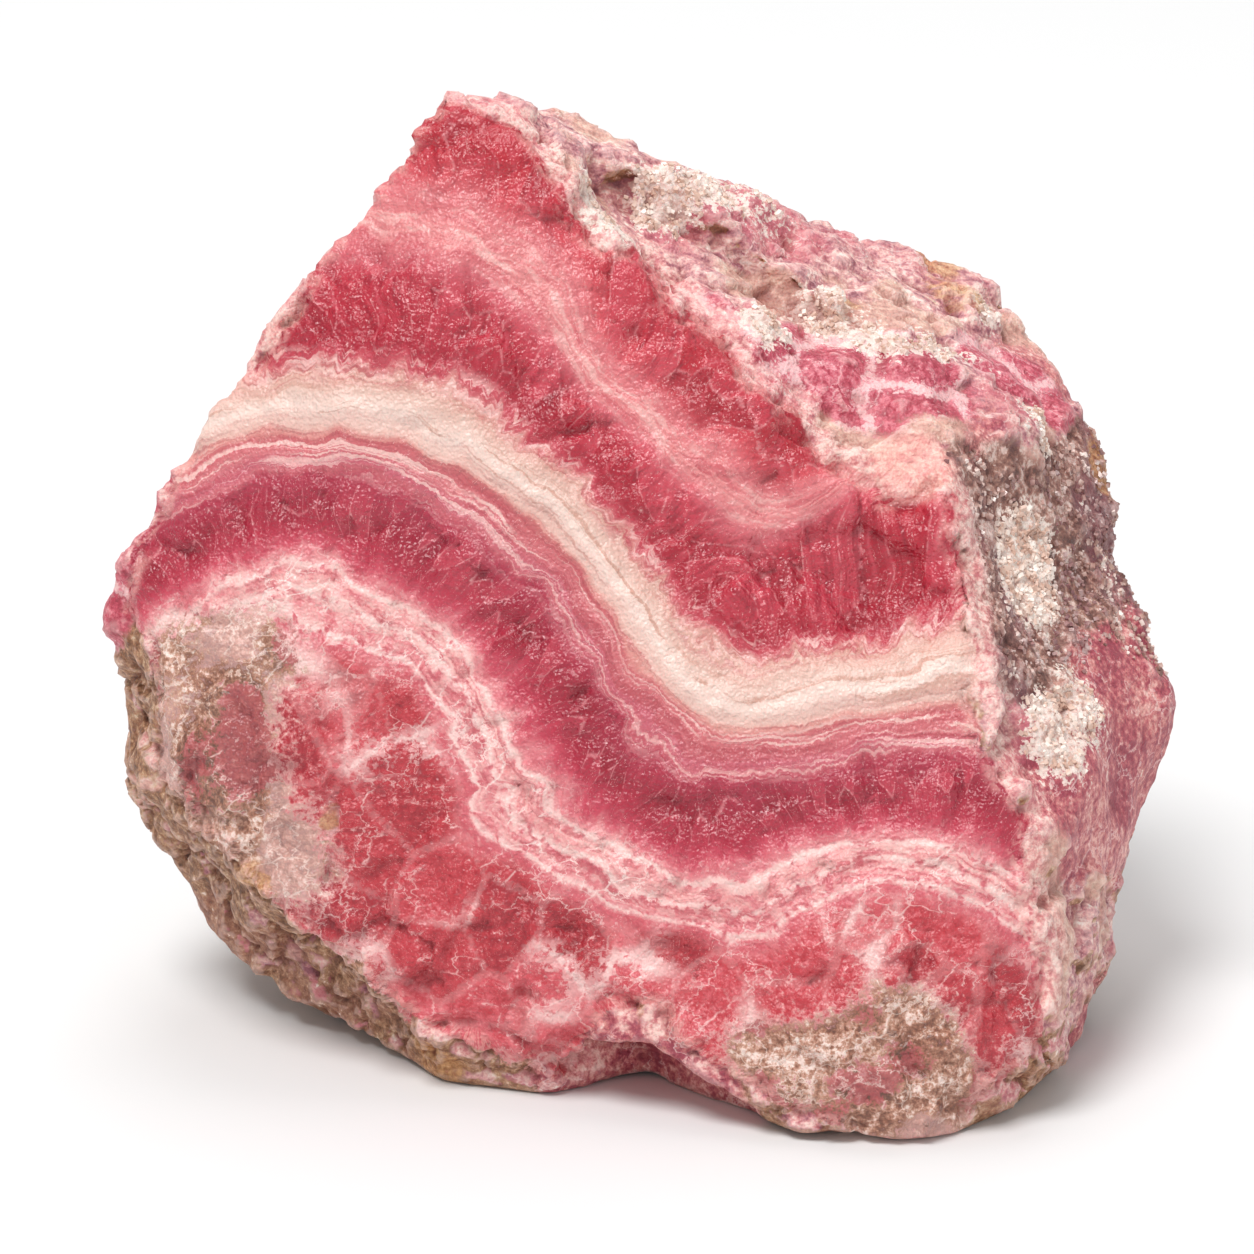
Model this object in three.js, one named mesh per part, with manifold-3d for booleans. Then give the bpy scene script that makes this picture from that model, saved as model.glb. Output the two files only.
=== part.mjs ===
// A hand specimen of banded rhodochrosite: one loose, broken lump, as it lies on a table.
// Millimetres, +Z up, the banded face towards -Y. The lump stands on its worn foot at z = 0,
// and the origin is the centre of its box on the ground.
import * as THREE from 'three';
import { ConvexGeometry } from 'three/addons/geometries/ConvexGeometry.js';
import { ImprovedNoise } from 'three/addons/math/ImprovedNoise.js';
import { mergeVertices } from 'three/addons/utils/BufferGeometryUtils.js';
import Module from 'manifold-3d';

// ---- driving dimensions ----
const LONGEST_EDGE = 5.4;          // the facets' longest edge after refining
const GROUND_LEVEL = -0.9;         // the height, among the corners, at which the ground wears it off
const LUMP_SIZE = 11;              // the broad lumps' spacing
const LUMP_HEIGHT = 1.5;           // and their height on the crusted sides
const KNOB_SIZE = 4.6;             // the small knobs' spacing
const KNOB_HEIGHT = 0.7;
const FRONT_CALM = 0.3;            // the broken front face is this much smoother than the sides
const FRONT_DIRECTION = new THREE.Vector3(0, -0.93, 0.36);
const SIDE_FACING = 0.55;          // a spot that faces the front less squarely than this is a side
const FRONT_FACING = 0.9;          // and one that faces it more squarely than this is the front
const LUMP_PATTERN = 3.7;          // where in the noise the broad lumps are taken from
const KNOB_PATTERN = 8.1;          // and where the small knobs are
const WORN_REACH = 0.5;            // what comes this near to the ground is worn level with it
const GROUND_SIZE = 300;           // the side of the block that stands for the ground
const SAME_POINT = 1e-4;           // corners nearer than this are one corner

// ---- the lump's corners, named by the side that they stand on: [right, back, up] ----
const FRONT_CORNERS = [
  [-18, 28, 91], [-12, 26.5, 89], [-6, 22.5, 83.5], [-1, 19.5, 77.5], [31, 10, 57],
  [32.5, 6.5, 50.5], [33.5, 0, 38], [36.5, -3, 30.5], [38, -4.5, 25.5], [39.5, -8, 11.5],
  [39, -8.5, 6], [34.5, -10, 2], [31, -12, -1], [27, -14, 0.5], [19.5, -13.5, 0.5],
  [13, -12, 3], [-1.5, -5, 2], [-7.5, -3.5, 2], [-21, -0.5, 6], [-27.5, 2.5, 11],
  [-34.5, 5, 17], [-42, 9, 22.5], [-45, 13, 37], [-49, 17, 40],
];
const FACE_CORNERS = [             // the face's own slight bulge
  [-31.5, 14.5, 52], [-17, 18.5, 72.5], [-12, 8.5, 44], [7, 6, 47], [18.5, -3, 27.5],
  [-17, 2.5, 23.5], [2, -3, 17.5], [22, -10.5, 12.5], [-36.5, 9.5, 34],
];
const LEFT_CORNERS = [
  [-21, 26.5, 85.5], [-29, 25, 78], [-35.5, 22.5, 66.5], [-41.5, 21.5, 60], [-47.5, 21, 51.5],
  [-51, 21, 45], [-52, 21.5, 41.5], [-51, 24.5, 30.5], [-50, 25.5, 20.5], [-46.5, 25.5, 14],
  [-42.5, 22.5, 6], [-34, 15, 2], [-22.5, 6, 0], [-17.5, 1.5, -1], [-6.5, -0.5, 0],
];
const TOP_CORNERS = [
  [-16.5, 33, 89.5], [-10.5, 36.5, 87], [-5, 44.5, 86], [0.5, 48, 83], [6.5, 51, 79.5],
  [12, 53.5, 75.5], [19.5, 54.5, 71.5], [28, 55.5, 68.5], [34.5, 56.5, 68], [40.5, 53, 63.5],
  [45, 48.5, 59],
];
const RIGHT_CORNERS = [
  [45.5, 45, 55], [48, 42.5, 50.5], [49.5, 40, 46], [51, 33, 38], [51.5, 29.5, 34],
  [54, 25.5, 31], [54, 24, 26.5], [52.5, 25, 19], [49, 24, 10.5], [47.5, 18, 4],
  [46.5, 13, 1.5], [43, 5.5, -1], [36.5, -2.5, -0.5],
];
const BACK_CORNERS = [
  [-34.5, 50, 44.5], [-44.5, 44, 31], [-42.5, 42, 16.5], [-23.5, 50, 64], [-13, 48, 74],
  [7.5, 60, 64], [23.5, 62, 60], [37.5, 59, 49], [44.5, 50.5, 32.5], [43, 43.5, 17.5],
  [35, 38.5, -1.5], [-1, 62, 34], [-19, 57, 24], [21, 59, 24.5], [-26, 40, 4.5],
  [-10, 43, -2.4], [18.5, 48, -2.4], [-18, 24, -2.4],
];

// ---- convex pieces broken out of the lump ----
const RIDGE_BREAK = [              // the top's front ridge sags to the right
  [-5, 12, 79], [8, 4, 66.5], [17.5, 2, 57.5], [25, 2, 51.5], [31, 2, 54],
  [31.5, 27, 64], [27, 31, 66], [19, 33, 68], [8, 34, 75.5], [-4, 34, 82.5],
  [-5, 12, 99], [31, 2, 99], [31.5, 27, 99], [-4, 34, 99],
];
const FOOT_BREAK = [               // the face steps back above the ground at its middle
  [-10, -22, -4], [16, -22, -4], [13, -22, 2], [6, -22, 5.5], [1, -22, 7.5], [-4, -22, 6.5],
  [-10, -3.5, -4], [2, 2, -4], [14, -8, -4], [12, -7.5, 1.5], [6, -2, 4.5], [1, 1, 6], [-4, -0.5, 5],
];
const APEX_BREAK = [               // a ledge behind the tip
  [-15, 24, 92.5], [-4, 30, 84.5], [-3, 50, 87], [-13, 44, 89.5], [-15, 24, 99], [-4, 50, 99],
];
const BREAKS = [RIDGE_BREAK, FOOT_BREAK, APEX_BREAK];

// ---- swellings and hollows: where, how far they reach, and how far they rise (or sink) ----
const SWELLINGS = [
  { name: 'valley in the deep red band', at: [24, 7, 48], reach: 8, rise: -4.2 },
  { name: 'valley tail', at: [15, 8, 52], reach: 6, rise: -1.6 },
  { name: 'lower right boss', at: [25, -13, 9], reach: 11, rise: 1.6 },
  { name: 'dome on the left', at: [-34, 8, 30], reach: 11, rise: 2.2 },
  { name: 'shoulder on the upper left', at: [-22, 20, 70], reach: 12, rise: 1.4 },
  { name: 'groove under the left edge', at: [-39.5, 13, 17], reach: 4.5, rise: -3.4 },
  { name: 'groove, middle', at: [-32, 9, 9.5], reach: 4.5, rise: -3.2 },
  { name: 'groove, lower', at: [-25, 4.5, 4.5], reach: 4, rise: -2.4 },
  { name: 'notch in the left side', at: [-49, 20, 31], reach: 4, rise: -2.4 },
  { name: 'druse hollow on the right', at: [37, 18, 45], reach: 8, rise: -3.6 },
  { name: 'notch in the right side', at: [49, 36, 43], reach: 4, rise: -3 },
  { name: 'shelf under the right knob', at: [47, 22, 17], reach: 6, rise: -2.2 },
  { name: 'right knob', at: [52, 24, 29], reach: 6, rise: 0.6 },
  { name: 'slab on the right', at: [40, 7, 28], reach: 6, rise: 2.2 },
  { name: 'upper right shoulder', at: [38, 30, 60], reach: 7, rise: 2 },
  { name: 'knob on the top, left', at: [12, 24, 68], reach: 4.5, rise: 1.8 },
  { name: 'knob on the top, middle', at: [21, 24, 63.5], reach: 4.5, rise: 1.8 },
  { name: 'knob on the top, right', at: [29, 20, 61], reach: 4.5, rise: 1.6 },
  { name: 'dip behind the knobs', at: [16, 38, 73], reach: 8, rise: -2.2 },
  { name: 'dip in the skyline, left', at: [1, 46, 84], reach: 6, rise: -1.6 },
  { name: 'dip in the skyline, middle', at: [14, 53, 75.5], reach: 7, rise: -3 },
  { name: 'dip in the skyline, right', at: [24, 54, 71], reach: 6, rise: -1.4 },
  { name: 'hollow beside the tip', at: [-28, 25, 79], reach: 8, rise: -2.4 },
  { name: 'hollow on the upper left', at: [-38, 22.5, 65], reach: 6, rise: -1 },
  { name: 'hollow under the foot', at: [6, 18, -2], reach: 12, rise: -4 },
  { name: 'hollow under the foot, back', at: [8, 36, -2], reach: 8, rise: -3 },
  { name: 'hollow under the foot, left', at: [-13, 14, -2], reach: 6, rise: -2 },
  { name: 'hollow in the back', at: [5, 62, 48], reach: 13, rise: -2.8 },
  { name: 'boss on the back', at: [-24, 54, 36], reach: 11, rise: 3 },
  { name: 'hollow low on the back', at: [24, 54, 14], reach: 10, rise: -2 },
  { name: 'hollow in the left side', at: [-46, 36, 40], reach: 9, rise: -1.6 },
];

// ---- making and joining solids ----
const wasm = await Module();
wasm.setup();

function barePositions(geometry) {
  const bare = geometry.clone();
  bare.deleteAttribute('normal');
  bare.deleteAttribute('uv');
  return mergeVertices(bare, SAME_POINT);
}

function convexPiece(corners) {
  return new ConvexGeometry(corners.map((corner) => new THREE.Vector3(...corner)));
}

function solidOf(geometry) {
  const merged = barePositions(geometry);
  return new wasm.Manifold(new wasm.Mesh({
    numProp: 3,
    vertProperties: new Float32Array(merged.attributes.position.array),
    triVerts: new Uint32Array(merged.index.array),
  }));
}

function geometryOf(solid) {
  const mesh = solid.getMesh();
  const geometry = new THREE.BufferGeometry();
  geometry.setAttribute('position', new THREE.BufferAttribute(new Float32Array(mesh.vertProperties), 3));
  geometry.setIndex(new THREE.BufferAttribute(new Uint32Array(mesh.triVerts), 1));
  return geometry;
}

// ---- refining: every edge over the longest one is halved, until none is left ----
function halveLongEdges(points, triangles, longest) {
  const middles = new Map();
  function middleOf(a, b) {
    if (points[a].distanceTo(points[b]) <= longest) {
      return -1;
    }
    const key = a < b ? `${a},${b}` : `${b},${a}`;
    if (!middles.has(key)) {
      middles.set(key, points.length);
      points.push(points[a].clone().lerp(points[b], 0.5));
    }
    return middles.get(key);
  }
  const finer = [];
  for (const triangle of triangles) {
    const halves = triangle.map((corner, side) => middleOf(corner, triangle[(side + 1) % 3]));
    const count = halves.filter((half) => half >= 0).length;
    // turned so that the side that differs from the other two comes first
    let first = 0;
    if (count === 1) {
      first = halves.findIndex((half) => half >= 0);
    } else if (count === 2) {
      first = halves.findIndex((half) => half < 0);
    }
    const [a, b, c] = [0, 1, 2].map((step) => triangle[(first + step) % 3]);
    const [ab, bc, ca] = [0, 1, 2].map((step) => halves[(first + step) % 3]);
    if (count === 0) {
      finer.push([a, b, c]);
    } else if (count === 1) {
      finer.push([a, ab, c], [ab, b, c]);
    } else if (count === 2) {
      finer.push([bc, c, ca]);
      if (points[a].distanceTo(points[bc]) < points[b].distanceTo(points[ca])) {
        finer.push([a, b, bc], [a, bc, ca]);
      } else {
        finer.push([a, b, ca], [b, bc, ca]);
      }
    } else {
      finer.push([a, ab, ca], [ab, b, bc], [ca, bc, c], [ab, bc, ca]);
    }
  }
  return finer;
}

function refined(geometry, longest) {
  const position = geometry.attributes.position;
  const index = Array.from(geometry.index.array);
  const points = [];
  for (let i = 0; i < position.count; i += 1) {
    points.push(new THREE.Vector3().fromBufferAttribute(position, i));
  }
  let triangles = [];
  for (let i = 0; i < index.length; i += 3) {
    triangles.push(index.slice(i, i + 3));
  }
  let before = 0;
  while (triangles.length !== before) {
    before = triangles.length;
    triangles = halveLongEdges(points, triangles, longest);
  }
  const result = new THREE.BufferGeometry().setFromPoints(points);
  result.setIndex(triangles.flat());
  return result;
}

// ---- the broken surface ----
const noise = new ImprovedNoise();

function lumps(point, size, pattern) {
  return noise.noise(point.x / size + pattern, point.y / size, point.z / size - pattern);
}

function riseAt(point, normal) {
  const facing = THREE.MathUtils.smoothstep(normal.dot(FRONT_DIRECTION), SIDE_FACING, FRONT_FACING);
  const calm = THREE.MathUtils.lerp(1, FRONT_CALM, facing);
  let rise = calm * LUMP_HEIGHT * lumps(point, LUMP_SIZE, LUMP_PATTERN);
  rise += calm * KNOB_HEIGHT * lumps(point, KNOB_SIZE, KNOB_PATTERN);
  for (const swelling of SWELLINGS) {
    const away = point.distanceTo(new THREE.Vector3(...swelling.at)) / swelling.reach;
    rise += swelling.rise * Math.exp(-away * away);
  }
  return rise;
}

function weathered(geometry) {
  geometry.computeVertexNormals();
  const position = geometry.attributes.position;
  const normals = geometry.attributes.normal;
  for (let i = 0; i < position.count; i += 1) {
    const point = new THREE.Vector3().fromBufferAttribute(position, i);
    const normal = new THREE.Vector3().fromBufferAttribute(normals, i);
    point.addScaledVector(normal, riseAt(point, normal));
    position.setXYZ(i, point.x, point.y, point.z);
  }
  return geometry;
}

// ---- the foot: all that would reach below the ground is worn off flat ----
function groundBlock() {
  const block = new THREE.BoxGeometry(GROUND_SIZE, GROUND_SIZE, GROUND_SIZE);
  block.translate(0, 0, -GROUND_SIZE / 2);
  return block;
}

function snappedToGround(geometry, near) {
  const position = geometry.attributes.position;
  for (let i = 0; i < position.count; i += 1) {
    if (Math.abs(position.getZ(i)) < near) {
      position.setZ(i, 0);
    }
  }
  return geometry;
}

function rhodochrositeLump() {
  const corners = [
    FRONT_CORNERS, FACE_CORNERS, LEFT_CORNERS, TOP_CORNERS, RIGHT_CORNERS, BACK_CORNERS,
  ].flat();
  let lump = solidOf(convexPiece(corners));
  for (const piece of BREAKS) {
    lump = lump.subtract(solidOf(convexPiece(piece)));
  }
  const surface = weathered(refined(geometryOf(lump), LONGEST_EDGE));
  surface.translate(0, 0, -GROUND_LEVEL);
  const worn = solidOf(snappedToGround(surface, WORN_REACH)).subtract(solidOf(groundBlock()));
  return geometryOf(worn);
}

function centredOnTheGround(geometry) {
  geometry.computeBoundingBox();
  const middle = geometry.boundingBox.getCenter(new THREE.Vector3());
  geometry.translate(-middle.x, -middle.y, -geometry.boundingBox.min.z);
  return geometry;
}

// ---- the specimen ----
const stone = new THREE.Mesh(
  centredOnTheGround(rhodochrositeLump()),
  new THREE.MeshStandardMaterial({ color: '#cf6a76', roughness: 0.5, metalness: 0 }),
);
stone.name = 'rhodochrosite_specimen';

const specimen = new THREE.Group();
specimen.add(stone);

export default specimen;
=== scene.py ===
import math

import bpy
import numpy as np
from bpy.props import (FloatProperty, FloatVectorProperty, IntProperty, PointerProperty)
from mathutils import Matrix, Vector


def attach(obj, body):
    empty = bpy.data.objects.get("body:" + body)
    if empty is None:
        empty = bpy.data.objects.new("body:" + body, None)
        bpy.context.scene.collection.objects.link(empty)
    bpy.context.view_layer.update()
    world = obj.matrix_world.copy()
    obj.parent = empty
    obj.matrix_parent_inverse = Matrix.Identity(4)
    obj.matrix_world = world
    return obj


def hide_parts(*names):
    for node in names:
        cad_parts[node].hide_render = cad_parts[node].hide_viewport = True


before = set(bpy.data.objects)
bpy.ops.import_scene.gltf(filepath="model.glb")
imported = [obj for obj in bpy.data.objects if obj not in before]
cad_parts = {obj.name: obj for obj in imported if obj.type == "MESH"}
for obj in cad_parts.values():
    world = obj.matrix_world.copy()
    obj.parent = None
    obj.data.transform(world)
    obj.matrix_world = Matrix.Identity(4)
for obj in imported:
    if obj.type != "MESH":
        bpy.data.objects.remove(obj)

bl_info = {
    "name": "Banded rhodochrosite specimen",
    "version": (1, 0, 0),
    "blender": (4, 5, 0),
    "location": "View3D > Sidebar > Rhodochrosite",
    "description": "A broken hand specimen of banded rhodochrosite on a pale table",
    "category": "Add Mesh",
}

MM = 0.001
NODE = "rhodochrosite_specimen"
STONE = "rhodochrosite_stone"
GRAINS = "druse_grains"
KEPT_NAMES = ("layers", "face", "crust", "stains", "mottle", "hollow", "blocks")
MOST_TRIANGLES = 198000

# The banded face leans back, and the growth layers run into the stone square to it. Places on it are
# told as across (to the right), rise (up the lean) and depth (into the stone), in millimetres from
# the middle of the face.
FACE_LEAN = math.radians(18)
FACE_MIDDLE = (-1.5, -23.7, 46.9)          # in the row frame, in millimetres

# The hearts round which the layers grew, from left to right: (across, rise, growth at the heart,
# growth in a millimetre), and how softly the layers bridge between them.
HEARTS = (
    (-31.7, -16.8, 0.0, 1.0), (-14.5, -37.0, 0.0, 1.0), (3.0, -44.0, -1.9, 1.12), (24.8, -39.9, 0.0, 1.0),
)
WIDE_BRIDGE = 11.5
LOW_BRIDGE = 6.0
# Where the layers are thicker or thinner: (across, rise, depth, reach, growth added).
LAYER_SHIFTS = ((-34, 6, 14, 7, -2.6), (10, 27, 12, 17, 3.2), (-3, 36, 12, 12, 1.5), (-2, 24, 10, 7, 4.5),
                (5, 17, 10, 6.5, 3.8), (12, 8.5, 9, 9.5, 6.0), (13, -8, 8, 11, 3.0), (27, -10, 6, 12, 3.1),
                (17.5, 16, 9, 6, 6.0), (10, 23.5, 9, 6, 5.0), (3, 31, 10, 6, 4.0))
# Where the pink layer dies out in the deep red one, whose level is given: (across, rise, depth, reach).
PINCHES = ((20, 4.5, 8, 5.5), (25, 7.5, 8, 6.0), (30, 9, 8, 5.0))
PINCHED_LEVEL = 49.0

# The front face's outline: (across, rise).
FACE_OUTLINE = (
    (-18, 51), (-14.5, 49.5), (-10.5, 48), (-7, 44), (-5.5, 40), (-2.5, 36), (1, 36), (6, 30), (9.5, 28),
    (12, 23), (16.5, 20), (19, 16.5), (23, 14.5), (24.5, 12), (28.5, 13), (30.5, 13), (31, 10.5),
    (32.5, 3.5), (33, -7.5), (35, -14), (38, -18.5), (37.5, -24.5), (39, -31.5), (39.5, -37.5),
    (37.5, -41), (34, -44.5), (30.5, -49), (22.5, -49), (16, -46), (13, -44.5), (8.5, -42), (6, -39.5),
    (2.5, -36), (-2.5, -36.5), (-5, -43), (-12, -41.5), (-18, -39.5), (-22.5, -37), (-25.5, -32.5),
    (-31.5, -29.5), (-34.5, -26), (-39.5, -20.5), (-42, -19.5), (-46.5, -13), (-45.5, -7),
    (-46.5, -1.5), (-49.5, 1.5), (-47.5, 9.5), (-41, 21), (-33.5, 28.5), (-29, 37.5), (-22.5, 44.5),
)

# What has grown or broken where: (across, rise, depth, reach) of each patch.
PATCHES = {
    "nodule": (
        (11, 24.5, 12, 5), (19, 27, 18, 5), (27, 27, 20, 5), (32.5, 24.5, 16, 5), (23.5, 22.5, 12, 5),
        (38.5, 28, 30, 6), (42.5, 24, 34, 5), (7, 31.5, 12, 4), (-27, 39.5, 15, 4), (-32, 33, 17, 4),
        (-38.5, 23, 18, 3), (-46, 13.5, 19, 5), (-50, 6.5, 21, 5), (-51.5, 2.5, 24, 5),
    ),
    "peach": ((27.5, 16.5, 9, 4.5),),
    "white": (
        (-3.5, 41.5, 14, 3.5), (-1.5, 38, 13, 3), (3, 42, 22, 4), (8, 43, 28, 4), (12, 41.5, 34, 3),
        (20, 31, 24, 4.5), (25, 29, 20, 4), (32, 30, 24, 4), (15, 30, 14, 3.5), (38, 33.5, 38, 4),
        (39.5, 8.5, 20, 5), (38.5, 3.5, 18, 4.5), (41, 19.5, 26, 3), (42, -7.5, 14, 4.5),
        (40, -10.5, 9, 3.5), (-10, 20, 60, 6), (20, -10, 62, 5),
    ),
    "rust": (
        (34, 35, 38, 5), (32, 38, 46, 3), (1.5, 48.5, 30, 4), (22, 31.5, 26, 2.5), (-42, -7, 16, 2.5),
        (-35.5, -24.5, 15, 3), (-28.3, -15, 11, 1.8), (-28.8, -18.5, 11, 1.6), (-18.5, -42, 14, 4),
        (41.5, 20, 28, 2), (48, 16, 38, 4), (-25, -10, 60, 5), (30, 10, 60, 4),
    ),
    "druse": (
        (37, 14, 12, 7), (37, 6.5, 14, 8), (36, -1, 10, 7), (40.5, 2.5, 20, 8), (47, 15, 37, 7),
        (49.5, 2.5, 32, 7), (47.5, 6.5, 32, 7), (50, -1.5, 30, 6), (43, 10.5, 26, 8), (36, 10, 52, 10),
        (-20, 0, 62, 9),
    ),
    "pink": (
        (36, 22, 14, 6), (42.5, 27, 38, 6), (51.5, -7.5, 28, 8), (51, -13.5, 28, 8), (46.5, -6, 22, 6),
        (43, -14.5, 14, 7), (40.5, -18.5, 10, 7), (45.5, -20, 22, 6), (45, -39.5, 22, 6),
        (2, -40.5, 12, 9), (9, -44, 9, 6), (-2.5, -41, 12, 5),
    ),
    "break": ((8, 20, 62, 20), (-30, 22, 48, 13), (30, -25, 52, 14)),
    "heart": (
        (-41.5, -5, 15, 6), (-35, -3.5, 14, 5.5), (-39, -13, 15, 7), (-43.5, -16, 16, 6),
        (-36.5, -18.5, 14, 6), (-31.5, -22.5, 13, 4), (-47, -9, 20, 6), (24, -41, 2, 6),
        (26, -37.5, 2, 4.5), (20, -42.5, 2, 5.5), (29.5, -44.5, 3, 5), (12.5, -40, 3, 3.5), (16.5, -44, 1, 4),
    ),
}


def paint(colour):
    """A linear colour: one that is given as it is, or one from its screen code."""
    if not isinstance(colour, str):
        return tuple(colour)
    shares = [int(colour[i:i + 2], 16) / 255 for i in (1, 3, 5)]
    linear = [s / 12.92 if s <= 0.04045 else ((s + 0.055) / 1.055) ** 2.4 for s in shares]
    return (*linear, 1.0)


# ---- settings that a user would change ----

class RhodoStoneSettings(bpy.types.PropertyGroup):
    """Sizes and colours of the stone."""
    mesh_step: FloatProperty(
        name="Mesh step", description="Size of the fine mesh's facets", default=0.52 * MM,
        min=0.3 * MM, unit="LENGTH")
    lump_height: FloatProperty(
        name="Lump height", description="Height of the lumps on the crusted sides", default=0.9 * MM,
        unit="LENGTH")
    grain_height: FloatProperty(
        name="Grain height", description="Height of the rounded druse grains", default=0.85 * MM,
        unit="LENGTH")
    deep_red: FloatVectorProperty(
        name="Deep red", description="The big toothed crystals over the pale layer", subtype="COLOR",
        size=4, default=paint("#B9334A"))
    raspberry: FloatVectorProperty(
        name="Raspberry", description="The dark layer under the pale one", subtype="COLOR", size=4,
        default=paint("#AE334C"))
    rose: FloatVectorProperty(
        name="Rose", description="The upper pink layer", subtype="COLOR", size=4,
        default=paint("#E8A1A1"))
    cream: FloatVectorProperty(
        name="Cream", description="The pale layer", subtype="COLOR", size=4,
        default=paint("#F3DDD4"))
    matrix: FloatVectorProperty(
        name="Matrix", description="The brown granular rock", subtype="COLOR", size=4,
        default=paint("#B0876A"))


class RhodoGrainSettings(bpy.types.PropertyGroup):
    """Sizes and numbers of the small crystals."""
    grain_size: FloatProperty(
        name="Grain size", description="Length of a small crystal", default=0.45 * MM, unit="LENGTH")
    density: FloatProperty(
        name="Density", description="Small crystals on a square metre of druse", default=3.6e6)
    seed: IntProperty(name="Seed", description="Which scatter is taken", default=7)


class RhodoStageSettings(bpy.types.PropertyGroup):
    """The table, the lights and the camera."""
    lens: FloatProperty(
        name="Lens", description="The camera's focal length in millimetres", default=137.4)
    distance: FloatProperty(
        name="Distance", description="From the camera to the middle of the face", default=0.45,
        unit="LENGTH")


# ---- sums on sockets ----

class Wire:
    """A socket's value in a node tree: a sum written on it adds the nodes that work it out."""

    def __init__(self, board, socket):
        self.board = board
        self.socket = socket

    def maths(self, operation, *others):
        sockets = dict(enumerate((self, *others)))
        return self.board.add("ShaderNodeMath", {"operation": operation}, sockets)

    def __add__(self, other):
        return self.maths("ADD", other)

    def __radd__(self, other):
        return self.maths("ADD", other)

    def __sub__(self, other):
        return self.maths("SUBTRACT", other)

    def __rsub__(self, other):
        return self.board.value(other).maths("SUBTRACT", self)

    def __mul__(self, other):
        return self.maths("MULTIPLY", other)

    def __rmul__(self, other):
        return self.maths("MULTIPLY", other)

    def __truediv__(self, other):
        return self.maths("DIVIDE", other)

    def __abs__(self):
        return self.maths("ABSOLUTE")


class Board:
    """A node tree that is being built."""

    def __init__(self, tree):
        self.tree = tree

    def node(self, kind, settings=None, sockets=None):
        """One node: its type, its settings, which are set first, and its sockets' values or links."""
        made = self.tree.nodes.new(kind)
        for name, value in (settings or {}).items():
            if name == "stops":
                self.set_stops(made.color_ramp, value)
            else:
                setattr(made, name, value)
        for name, value in (sockets or {}).items():
            socket = self.shown(made.inputs, name)
            if isinstance(value, Wire):
                self.tree.links.new(value.socket, socket)
            else:
                socket.default_value = paint(value) if str(value).startswith("#") else value
        return made

    @staticmethod
    def shown(sockets, name):
        """A socket by its number, or the one in use among those of a name."""
        if isinstance(name, int):
            return sockets[name]
        return next(socket for socket in sockets if socket.name == name and socket.enabled)

    def add(self, kind, settings=None, sockets=None, out=0):
        """One node, given back as the value of its socket out."""
        return Wire(self, self.shown(self.node(kind, settings, sockets).outputs, out))

    @staticmethod
    def set_stops(ramp, stops):
        for _ in range(len(stops) - len(ramp.elements)):
            ramp.elements.new(1.0)
        for element, (place, colour) in zip(ramp.elements, stops):
            element.position = place
            element.color = paint(colour)

    def value(self, number):
        made = self.node("ShaderNodeValue")
        made.outputs[0].default_value = number
        return Wire(self, made.outputs[0])

    def least(self, a, b):
        return a.maths("MINIMUM", b)

    def step(self, value, low, high):
        """0 below low, 1 above high, smooth between; low may be over high to turn it round."""
        flipped = low > high
        limits = (high, low) if flipped else (low, high)
        sockets = {"Value": value, "From Min": limits[0], "From Max": limits[1]}
        if flipped:
            sockets.update({"To Min": 1.0, "To Max": 0.0})
        return self.add("ShaderNodeMapRange", {"interpolation_type": "SMOOTHSTEP"}, sockets)

    def bell(self, value, middle, half_width):
        """1 at middle, falling smoothly to 0 at half_width away."""
        return self.step(abs(value - middle), half_width, 0.0)

    def vector(self, x=0.0, y=0.0, z=0.0):
        return self.add("ShaderNodeCombineXYZ", None, {"X": x, "Y": y, "Z": z})

    def parts(self, vector):
        made = self.node("ShaderNodeSeparateXYZ", None, {0: vector})
        return [Wire(self, socket) for socket in made.outputs]

    def vector_maths(self, operation, a, b=None, scale=None, out=0):
        sockets = {0: a}
        if b is not None:
            sockets[1] = b
        if scale is not None:
            sockets["Scale"] = scale
        return self.add("ShaderNodeVectorMath", {"operation": operation}, sockets, out)

    def noise(self, vector, scale, detail=2.0, roughness=0.5):
        return self.add("ShaderNodeTexNoise", None, {
            "Vector": vector, "Scale": scale, "Detail": detail, "Roughness": roughness})

    def edge_distance(self, place, scale, dimensions="3D"):
        """The distance to the nearest edge between cells."""
        return self.add(
            "ShaderNodeTexVoronoi", {"voronoi_dimensions": dimensions, "feature": "DISTANCE_TO_EDGE"},
            {"Vector": place, "Scale": scale}, "Distance")

    def cell_number(self, place, scale, dimensions="3D"):
        """Each cell's own number, from 0 to 1."""
        return self.parts(self.add(
            "ShaderNodeTexVoronoi", {"voronoi_dimensions": dimensions},
            {"Vector": place, "Scale": scale}, "Color"))[0]

    def mingle(self, a, b, share):
        """The number a where share is 0, b where it is 1."""
        return a + (b - a) * share

    def ridges(self, vector, scale, detail=1.0):
        """Thin lines where a noise passes its middle: 1 on a line, 0 away from it."""
        return 1.0 - abs(self.noise(vector, scale, detail) - 0.5) * 2.0

    def blend(self, a, b, factor, way="MIX"):
        """Colour a with colour b over it by factor."""
        return self.add("ShaderNodeMix", {"data_type": "RGBA", "blend_type": way},
                        {0: factor, 6: a, 7: b}, 2)

    def ramp(self, value, stops):
        """The colour at value between the stops, each a place and a colour."""
        return self.add("ShaderNodeValToRGB", {"stops": stops}, {0: value})


# ---- where a point of the stone lies ----

def face_places(points):
    """Across, rise and depth of points given in metres in the row frame; an array of three rows."""
    x, y, z = (points / MM - np.array(FACE_MIDDLE)).T
    lean_cos, lean_sin = math.cos(FACE_LEAN), math.sin(FACE_LEAN)
    return np.array([x + 0.0, z * lean_cos + y * lean_sin, y * lean_cos - z * lean_sin])


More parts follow.
